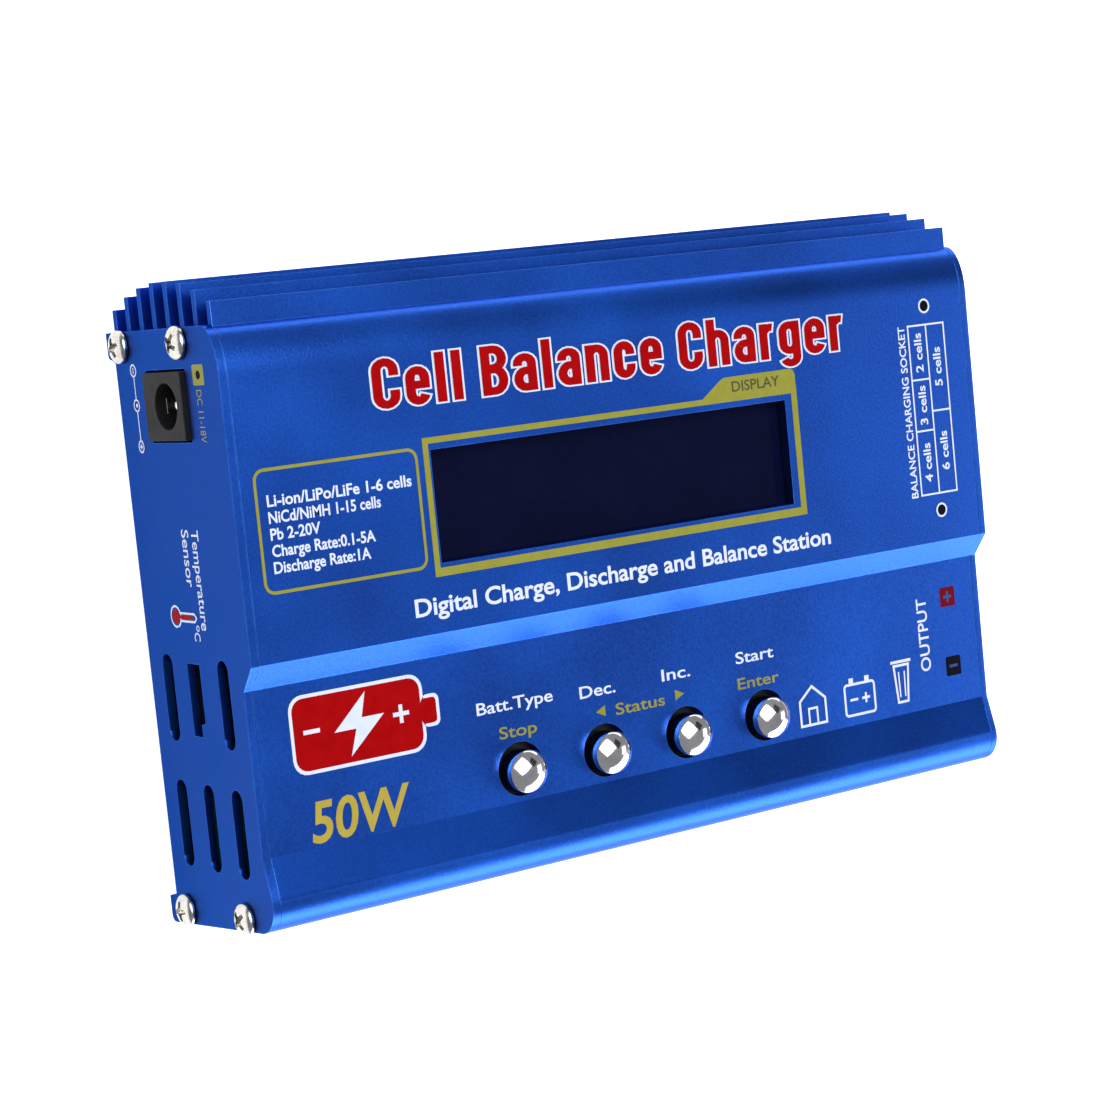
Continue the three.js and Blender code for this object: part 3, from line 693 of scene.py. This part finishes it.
# Polarity squares beside the output sockets
plus_square = new_pen()
fill(plus_square, rounded_box(58.2, 61.3, -17.5, -14.4, 0.3))
lay("plus_square", plus_square, lower_panel, dark_red_ink)
minus_square = new_pen()
fill(minus_square, rounded_box(58.3, 61.4, -28.6, -25.5, 0.3))
lay("minus_square", minus_square, lower_panel, black_ink)
signs = new_pen()
for spot in (((58.9, -15.95), (60.6, -15.95)), ((59.75, -16.8), (59.75, -15.1)),
             ((59.0, -27.05), (60.7, -27.05))):
    stroke(signs, list(spot), 0.45, raised=0.012)
lay("polarity_signs", signs, lower_panel, blue_ink)


# ---------------------------------------------------------------------------
# The print on the input end plate, in the same inks: a thermometer by the
# sensor port, and the supply voltage and polarity by the inlet.
# ---------------------------------------------------------------------------
PLATE_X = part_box("end_plate_input")[0].x / MM


def input_plate(u, v, raised):
    return PLATE_X - INK_LIFT - raised, -u, v


plate_words = new_pen()
letters(plate_words, "Temperature", (-11.6, 19.3), 13.8, 2.0, weight=0.008)
letters(plate_words, "Sensor", (-11.6, 16.4), 7.9, 2.0, weight=0.008)
stroke(plate_words, circle(0.6, 12.0, 1.45), 0.3, closed=True)
stroke(plate_words, [(0.05, 13.2), (0.05, 17.6), (0.6, 18.2), (1.15, 17.6), (1.15, 13.2)], 0.3)
stroke(plate_words, circle(2.0, 18.3, 0.35, 16), 0.2, closed=True)
letters(plate_words, "C", (2.6, 17.0), 1.2, 1.6, weight=0.008)
lay("plate_words", plate_words, input_plate, white_ink)
mercury = new_pen()
fill(mercury, circle(0.6, 12.0, 1.05), 0.01)
stroke(mercury, [(0.6, 12.6), (0.6, 17.0)], 0.5, raised=0.01)
lay("plate_thermometer", mercury, input_plate, red_ink)
supply_words = new_pen()
letters(supply_words, "DC 11-18V", (-30.6, 25.5), 7.1, 1.5)
fill(supply_words, rounded_box(-34, -31.2, 24.9, 28.1, 0.3))
lay("plate_supply_words", supply_words, input_plate, olive_ink)
polarity = new_pen()
for u in (-33.65, -28.8, -23.05):
    stroke(polarity, circle(u, 7.35, 0.8, 20), 0.25, closed=True)
for u0, u1 in ((-32.75, -29.7), (-27.9, -23.95), (-34.05, -33.25), (-23.45, -22.65)):
    stroke(polarity, [(u0, 7.35), (u1, 7.35)], 0.25)
stroke(polarity, [(-23.05, 6.95), (-23.05, 7.75)], 0.25)
fill(polarity, circle(-28.8, 7.35, 0.3, 14))
lay("plate_polarity", polarity, input_plate, white_ink)
supply_dot = new_pen()
fill(supply_dot, circle(-32.6, 26.5, 0.6, 18), 0.012)
lay("plate_supply_dots", supply_dot, input_plate, black_ink)


# ---------------------------------------------------------------------------
# The display: a dark tinted acrylic window behind the opening, a negative
# liquid-crystal cell in a pressed steel bezel under it, and its own board.
# ---------------------------------------------------------------------------
window_acrylic = finish("window_acrylic", (0.0012, 0.0020, 0.012), (0.0022, 0.0032, 0.018), 0.07,
                        0.0, grain=1500, mottle=120, rough_spread=0.04, bump=0.02,
                        specular=0.06)
eased_copy("display_window", window_acrylic, 0.1 * MM)
bezel_steel = finish("bezel_steel", (0.020, 0.020, 0.022), (0.035, 0.035, 0.038), 0.4, 0.8,
                     grain=4000, mottle=200, edge_color=(0.15, 0.15, 0.15), edge_width=0.0002)
eased_copy("display_bezel", bezel_steel, 0.12 * MM)
display_glass = finish("display_glass", (0.002, 0.004, 0.030), (0.004, 0.007, 0.045), 0.12,
                       grain=2500, mottle=150, bump=0.03)
eased_copy("display_cell", display_glass, 0.12 * MM)
circuit_board = finish("circuit_board", (0.010, 0.085, 0.030), (0.022, 0.150, 0.055), 0.38,
                       grain=1400, mottle=420, rough_spread=0.2, bump=0.35,
                       bump_depth=0.00004, edge_color=(0.35, 0.30, 0.14), edge_width=0.0002)
eased_copy("display_board", circuit_board, 0.1 * MM)
black_moulding = finish("black_moulding", (0.0055, 0.0055, 0.0065), (0.011, 0.011, 0.012), 0.42,
                        grain=3500, mottle=260, rough_spread=0.14, bump=0.3, specular=0.05,
                        edge_color=(0.035, 0.035, 0.04), edge_width=0.0002)
eased_copy("display_header", black_moulding, 0.12 * MM)
spacer_nylon = finish("spacer_nylon", (0.55, 0.52, 0.43), (0.66, 0.63, 0.54), 0.5,
                      grain=2500, mottle=300, bump=0.15)
for spacer in ("display_spacer_left", "display_spacer_right"):
    eased_copy(spacer, spacer_nylon, 0.15 * MM)


# ---------------------------------------------------------------------------
# The push buttons: chrome-plated moulded thimbles with a domed top, pressed
# onto black stems. Each stem stands in a tact switch on the keypad board.
# ---------------------------------------------------------------------------
button_chrome = finish("button_chrome", (0.58, 0.55, 0.53), (0.76, 0.74, 0.73), 0.11,
                       metallic=1.0, grain=2500, mottle=350, rough_spread=0.05, bump=0.02,
                       bump_depth=0.00001)
switch_plastic = finish("switch_plastic", (0.006, 0.006, 0.007), (0.012, 0.012, 0.013), 0.45,
                        grain=3000, mottle=300, bump=0.2, edge_color=(0.04, 0.04, 0.045),
                        edge_width=0.00015)
for name in ("stop", "dec", "inc", "start"):
    low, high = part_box("button_cap_" + name)
    x, y = (low.x + high.x) / 2 / MM, (low.y + high.y) / 2 / MM
    radius = 3.15
    foot, crown, shoulder = low.z / MM, high.z / MM, 31.5
    rise = crown - shoulder
    dome = (radius * radius + rise * rise) / (2 * rise)
    reach = math.degrees(math.asin(radius / dome))
    cap = [(0, 30.5), (2.2, 30.5), (2.2, foot), (radius - 0.12, foot), (radius, foot + 0.12)]
    cap += arc(radius - 0.35, shoulder - 0.14, 0.35, 0, 34, 5)
    for step in range(2, 22):
        angle = math.radians(reach * (1 - step / 22))
        cap.append((dome * math.sin(angle), crown - dome * (1 - math.cos(angle))))
    cap.append((0, crown))
    place_piece("button_cap_" + name + "_plated",
                turned_mesh("button_cap_" + name, cap, (x, y, 0), (0, 0, 1), 96, 50),
                button_chrome, "button_" + name, ("button_cap_" + name,))
    low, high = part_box("button_stem_" + name)
    foot, head = low.z / MM, high.z / MM
    stem = [(0, foot), (1.65, foot), (1.75, foot + 0.1), (1.75, 26.2), (4.5, 26.2), (4.6, 26.3),
            (4.6, 26.9), (4.5, 27.0), (1.95, 27.0), (1.9, 27.05), (1.9, head - 0.2),
            (1.75, head), (0, head)]
    place_piece("button_stem_" + name + "_turned",
                turned_mesh("button_stem_" + name, stem, (x, y, 0), (0, 0, 1), 48),
                switch_plastic, "button_" + name, ("button_stem_" + name,))
    eased_copy("switch_housing_" + name, switch_plastic, 0.12 * MM)
eased_copy("keypad_board", circuit_board, 0.1 * MM)
for spacer in ("keypad_spacer_left", "keypad_spacer_right"):
    eased_copy(spacer, spacer_nylon, 0.15 * MM)


# ---------------------------------------------------------------------------
# The supply inlet: a black moulded barrel jack on the main board, with a
# nickel centre pin and a spring leaf along its bore.
# ---------------------------------------------------------------------------
eased_copy("dc_jack", black_moulding, 0.15 * MM)
contact_nickel = finish("contact_nickel", (0.55, 0.54, 0.50), (0.70, 0.69, 0.65), 0.22,
                        metallic=1.0, grain=4500, mottle=600, rough_spread=0.12, bump=0.1)
low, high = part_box("dc_jack_pin")
pin_y, pin_z = (low.y + high.y) / 2 / MM, (low.z + high.z) / 2 / MM
tip, root = low.x / MM, high.x / MM
length = root - tip
pin = [(0, 0), (1.05, 0), (1.05, length - 0.9)]
pin += arc(0.15, length - 0.9, 0.9, 0, 90, 8)
pin.append((0, length))
place_piece("dc_jack_pin_turned",
            turned_mesh("dc_jack_pin", pin, (root, pin_y, pin_z), (-1, 0, 0), 40),
            contact_nickel, "case", ("dc_jack_pin",))
leaf = bmesh.new()
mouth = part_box("dc_jack")[0].x / MM
for start, stop, drop in ((1.6, 4.2, 0.0), (4.1, 5.6, 0.35), (5.5, 9.3, 0.0)):
    block(leaf, (mouth + start, pin_y - 1.1, pin_z - 3.0 + drop),
          (mouth + stop, pin_y + 1.1, pin_z - 2.8 + drop))
bmesh.ops.bevel(leaf, geom=leaf.edges[:], offset=0.05 * MM, segments=1, affect="EDGES")
leaf_mesh = made_mesh(leaf, "dc_jack_leaf")
place_piece("dc_jack_leaf", leaf_mesh, contact_nickel)


# ---------------------------------------------------------------------------
# The temperature-sensor header behind its port: a black moulded shell with
# three plated square pins, soldered to the edge of the main board.
# ---------------------------------------------------------------------------
def pin_row(name, centres, x0, x1, z):
    """A row of 0.64 mm square plated pins along X, each with a chamfered tip."""
    work = bmesh.new()
    half = 0.64 / 2
    for y in centres:
        block(work, (x0, y - half, z - half), (x1, y + half, z + half))
    bmesh.ops.bevel(work, geom=work.edges[:], offset=0.12 * MM, segments=1, affect="EDGES")
    mesh = made_mesh(work, name)
    return place_piece(name, mesh, contact_nickel)


eased_copy("sensor_header", black_moulding, 0.12 * MM)
low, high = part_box("sensor_header")
middle_y = (low.y + high.y) / 2 / MM
pin_row("sensor_pins", [middle_y - 2.5, middle_y, middle_y + 2.5],
        low.x / MM + 1.2, high.x / MM - 0.5, low.z / MM + 3.8)


# ---------------------------------------------------------------------------
# The output sockets for 4 mm plugs: glossy red and black moulded collars
# around turned brass sleeves, pushed through the output end plate.
# ---------------------------------------------------------------------------
sleeve_brass = finish("sleeve_brass", (0.62, 0.40, 0.12), (0.78, 0.54, 0.20), 0.24,
                      metallic=1.0, grain=4000, mottle=500, rough_spread=0.12, bump=0.15)
red_moulding = finish("red_moulding", (0.36, 0.008, 0.008), (0.48, 0.016, 0.014), 0.28,
                      grain=2500, mottle=260, rough_spread=0.1, bump=0.08,
                      edge_color=(0.62, 0.06, 0.05), edge_width=0.0002)
black_gloss = finish("black_gloss_moulding", (0.005, 0.005, 0.006), (0.010, 0.010, 0.011), 0.26,
                     grain=2500, mottle=260, rough_spread=0.1, bump=0.08,
                     edge_color=(0.045, 0.045, 0.05), edge_width=0.0002)
for name, collar_finish, slot in (("positive", red_moulding, "red_moulding"),
                                  ("negative", black_gloss, "black_gloss_moulding")):
    low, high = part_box("output_socket_" + name)
    y, z = (low.y + high.y) / 2 / MM, (low.z + high.z) / 2 / MM
    collar = [(3.2, -14), (4.5, -14), (4.6, -13.9), (4.6, 0.1), (5.1, 0.1), (5.2, 0.2)]
    collar += arc(4.75, 1.15, 0.45, 0, 90, 7)
    collar += arc(3.55, 1.25, 0.35, 90, 180, 5)
    collar.append((3.2, -14))
    place_piece("output_socket_" + name + "_turned",
                turned_mesh("output_socket_" + name, collar, (66.5, y, z), (1, 0, 0), 72, 40),
                collar_finish, "case", ("output_socket_" + name,))
    sleeve = [(0, -15.5), (2.8, -15.5), (2.9, -15.4), (2.9, 0.95), (2.75, 1.1), (2.35, 1.1),
              (2.05, 0.8), (2.05, -14), (0, -14)]
    place_piece("output_sleeve_" + name + "_turned",
                turned_mesh("output_sleeve_" + name, sleeve, (66.5, y, z), (1, 0, 0), 64),
                sleeve_brass, "case", ("output_sleeve_" + name,))


# ---------------------------------------------------------------------------
# The balance sockets: five white nylon shrouds, injection moulded, each with
# two keying notches and a row of plated pins, one more pin than it has cells.
# ---------------------------------------------------------------------------
white_moulding = finish("white_moulding", (0.62, 0.57, 0.44), (0.74, 0.70, 0.57), 0.42,
                        grain=2200, mottle=180, rough_spread=0.12, bump=0.15,
                        edge_color=(0.86, 0.83, 0.74), edge_width=0.0002)
for cells in (2, 3, 4, 5, 6):
    node = f"balance_header_{cells}s"
    eased_copy(node, white_moulding, 0.1 * MM)
    low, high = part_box(node)
    first = (low.y + high.y) / 2 / MM - cells * 1.25
    pin_row(f"balance_pins_{cells}s", [first + 2.5 * pin_index for pin_index in range(cells + 1)],
            low.x / MM + 0.6, high.x / MM - 1.4, (low.z + high.z) / 2 / MM)
eased_copy("balance_board", circuit_board, 0.1 * MM)


# ---------------------------------------------------------------------------
# Inside the case: the main board on an insulating film, with a controller,
# capacitors, wound coils, a buzzer and two transistors clamped to the wall.
# ---------------------------------------------------------------------------
eased_copy("main_board", circuit_board, 0.1 * MM)
insulator_film = finish("insulator_film", (0.52, 0.48, 0.34), (0.62, 0.58, 0.44), 0.5,
                        grain=1800, mottle=90, bump=0.2)
eased_copy("insulator_sheet", insulator_film, 0.08 * MM)

capacitor_sleeve = finish("capacitor_sleeve", (0.012, 0.020, 0.090), (0.020, 0.032, 0.130), 0.3,
                          grain=2500, mottle=300, bump=0.1, edge_color=(0.10, 0.14, 0.30))
can = [(0, 0), (4.5, 0), (4.85, 0.15), (5, 0.5), (5, 1.7)]
can += [(4.72, 2.1), (4.72, 2.5), (5, 2.9), (5, 14.5)]
can += arc(4.6, 14.6, 0.4, 0, 90, 5)
can += [(4.2, 15.0), (4.05, 14.7), (0.6, 14.7), (0.4, 14.55), (0, 14.55)]
for name in ("input", "output"):
    node = "capacitor_" + name
    low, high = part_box(node)
    x, y = (low.x + high.x) / 2 / MM, (low.y + high.y) / 2 / MM
    place_piece(node + "_can",
                turned_mesh(node, can, (x, y, low.z / MM), (0, 0, 1), 56, 35),
                capacitor_sleeve, "case", (node,))

coil_copper = finish("coil_copper", (0.42, 0.15, 0.055), (0.56, 0.22, 0.09), 0.3, metallic=0.8,
                     grain=3000, mottle=400, bump=0.1)
core = [(4.7, 0.5), (8.5, 0.5), (8.5, 7.5), (4.7, 7.5), (4.7, 0.5)]
for name in ("input", "output"):
    node = "inductor_" + name
    low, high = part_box(node)
    x, y, foot = (low.x + high.x) / 2 / MM, (low.y + high.y) / 2 / MM, low.z / MM
    wire = bpy.data.curves.new(node, "CURVE")
    wire.dimensions = "3D"
    wire.bevel_depth = 0.36 * MM
    wire.bevel_resolution = 1
    spline = wire.splines.new("POLY")
    turns, steps = 34, 12
    spline.points.add(turns * steps - 1)
    spline.use_cyclic_u = True
    for step in range(turns * steps):
        around = 2 * math.pi * step / (turns * steps)
        through = 2 * math.pi * step / steps
        side, up_down = math.cos(through), math.sin(through)
        flat = max(abs(side), abs(up_down))
        reach = 6.6 + 2.02 * side / flat
        height = 4.0 + 3.62 * up_down / flat
        spline.points[step].co = ((x + reach * math.cos(around)) * MM,
                                  (y + reach * math.sin(around)) * MM,
                                  (foot + height) * MM, 1)
    holder = bpy.data.objects.new("coil", wire)
    bpy.context.scene.collection.objects.link(holder)
    bpy.context.view_layer.update()
    coil = bpy.data.meshes.new_from_object(
        holder.evaluated_get(bpy.context.evaluated_depsgraph_get()))
    bpy.data.objects.remove(holder)
    joined = bmesh.new()
    joined.from_mesh(coil)
    joined.from_mesh(turned_mesh(node + "_core", core, (x, y, foot), (0, 0, 1), 36))
    for face in joined.faces:
        face.smooth = True
    joined.to_mesh(coil)
    joined.free()
    coil.name = node + "_wound"
    coil.set_sharp_from_angle(angle=math.radians(60))
    place_piece(node + "_wound", coil, coil_copper, "case", (node,))

low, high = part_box("buzzer")
x, y = (low.x + high.x) / 2 / MM, (low.y + high.y) / 2 / MM
drum = [(0, 0), (5.9, 0), (6, 0.1)] + arc(5.5, 8.0, 0.5, 0, 90, 6)
drum += [(1.5, 8.5), (1.3, 8.3), (1.3, 6.5), (0, 6.5)]
place_piece("buzzer_drum", turned_mesh("buzzer", drum, (x, y, low.z / MM), (0, 0, 1), 64),
            black_moulding, "case", ("buzzer",))

eased_copy("controller_chip", black_moulding, 0.1 * MM)
low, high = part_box("controller_chip")
legs = bmesh.new()
x0, x1, y0, y1 = low.x / MM, high.x / MM, low.y / MM, high.y / MM
foot = low.z / MM
for step in range(14):
    offset = 0.8 + step * 0.8
    for a, b in (((x0 + offset - 0.15, y0 - 0.9), (x0 + offset + 0.15, y0)),
                 ((x0 + offset - 0.15, y1), (x0 + offset + 0.15, y1 + 0.9)),
                 ((x0 - 0.9, y0 + offset - 0.15), (x0, y0 + offset + 0.15)),
                 ((x1, y0 + offset - 0.15), (x1 + 0.9, y0 + offset + 0.15))):
        block(legs, (*a, foot - 0.08), (*b, foot + 0.12))
bmesh.ops.bevel(legs, geom=legs.edges[:], offset=0.03 * MM, segments=1, affect="EDGES")
leg_mesh = made_mesh(legs, "controller_legs")
place_piece("controller_legs", leg_mesh, contact_nickel)

for name in ("transistor_charge", "transistor_discharge"):
    eased_copy(name, black_moulding, 0.2 * MM)
clamp_aluminium = finish("clamp_aluminium", (0.55, 0.55, 0.56), (0.68, 0.68, 0.69), 0.32,
                         metallic=1.0, grain=3500, mottle=200, bump=0.2)
eased_copy("transistor_clamp", clamp_aluminium, 0.15 * MM)


# ---------------------------------------------------------------------------
# Table, soft lights and camera.
# ---------------------------------------------------------------------------
bpy.ops.mesh.primitive_plane_add(size=8, location=(0, 0, -0.0001))
floor = bpy.context.object
floor.name = "pale_table"
paper = bpy.data.materials.new("pale_table")
paper.use_nodes = True
sheet = paper.node_tree.nodes["Principled BSDF"]
sheet.inputs["Base Color"].default_value = (0.72, 0.72, 0.72, 1)
sheet.inputs["Roughness"].default_value = 0.8
sheet.inputs["Emission Color"].default_value = (1, 1, 1, 1)
sheet.inputs["Emission Strength"].default_value = 0.85
floor.data.materials.append(paper)

world = bpy.data.worlds.new("studio")
bpy.context.scene.world = world
world.use_nodes = True
world.node_tree.nodes["Background"].inputs["Color"].default_value = (0.86, 0.90, 1.0, 1)
world.node_tree.nodes["Background"].inputs["Strength"].default_value = 0.38


def softbox(name, place, target, width, height, watts):
    light = bpy.data.lights.new(name, "AREA")
    light.shape = "RECTANGLE"
    light.size = width
    light.size_y = height
    light.energy = watts
    lamp = bpy.data.objects.new(name, light)
    bpy.context.scene.collection.objects.link(lamp)
    lamp.location = place
    aim = Vector(target) - Vector(place)
    lamp.rotation_euler = aim.to_track_quat("-Z", "Y").to_euler()


softbox("overhead", (-0.30, 0.45, 1.20), (0, 0, 0), 1.3, 1.2, 27)
softbox("front_low", (0.75, -0.90, 0.38), (0, 0, 0.02), 1.6, 0.72, 19)
softbox("far_side", (1.70, -0.15, 1.10), (0, 0, 0.02), 0.8, 0.8, 4)
softbox("rear_low", (0.70, 0.90, 0.13), (0, 0, 0.03), 1.0, 0.26, 1.8)

bpy.ops.mesh.primitive_plane_add(size=0.36, location=(0.42, 0.30, 0.62))
card = bpy.context.object
card.name = "dark_card"
card.rotation_euler = Vector((0.42, 0.33, 0.59)).to_track_quat("Z", "Y").to_euler()
velvet = bpy.data.materials.new("dark_card")
velvet.use_nodes = True
velvet.node_tree.nodes["Principled BSDF"].inputs["Base Color"].default_value = (0.01, 0.01, 0.01, 1)
velvet.node_tree.nodes["Principled BSDF"].inputs["Roughness"].default_value = 0.9
card.data.materials.append(velvet)

camera_data = bpy.data.cameras.new("camera")
camera = bpy.data.objects.new("camera", camera_data)
bpy.context.scene.collection.objects.link(camera)
bpy.context.scene.camera = camera
camera_data.sensor_width = 36
camera_data.lens = 92.32
camera_data.clip_start = 0.01
camera.location = (-0.2402, 0.0424, 0.3631)
right = Vector((0.8192127, -0.0992569, 0.5648350))
up = Vector((0.1383150, 0.9900302, -0.0266310))
back = right.cross(up)
camera.rotation_euler = Matrix((right, up, back)).transposed().to_euler()
bpy.context.scene.view_settings.view_transform = "Standard"
bpy.context.scene.view_settings.look = "None"
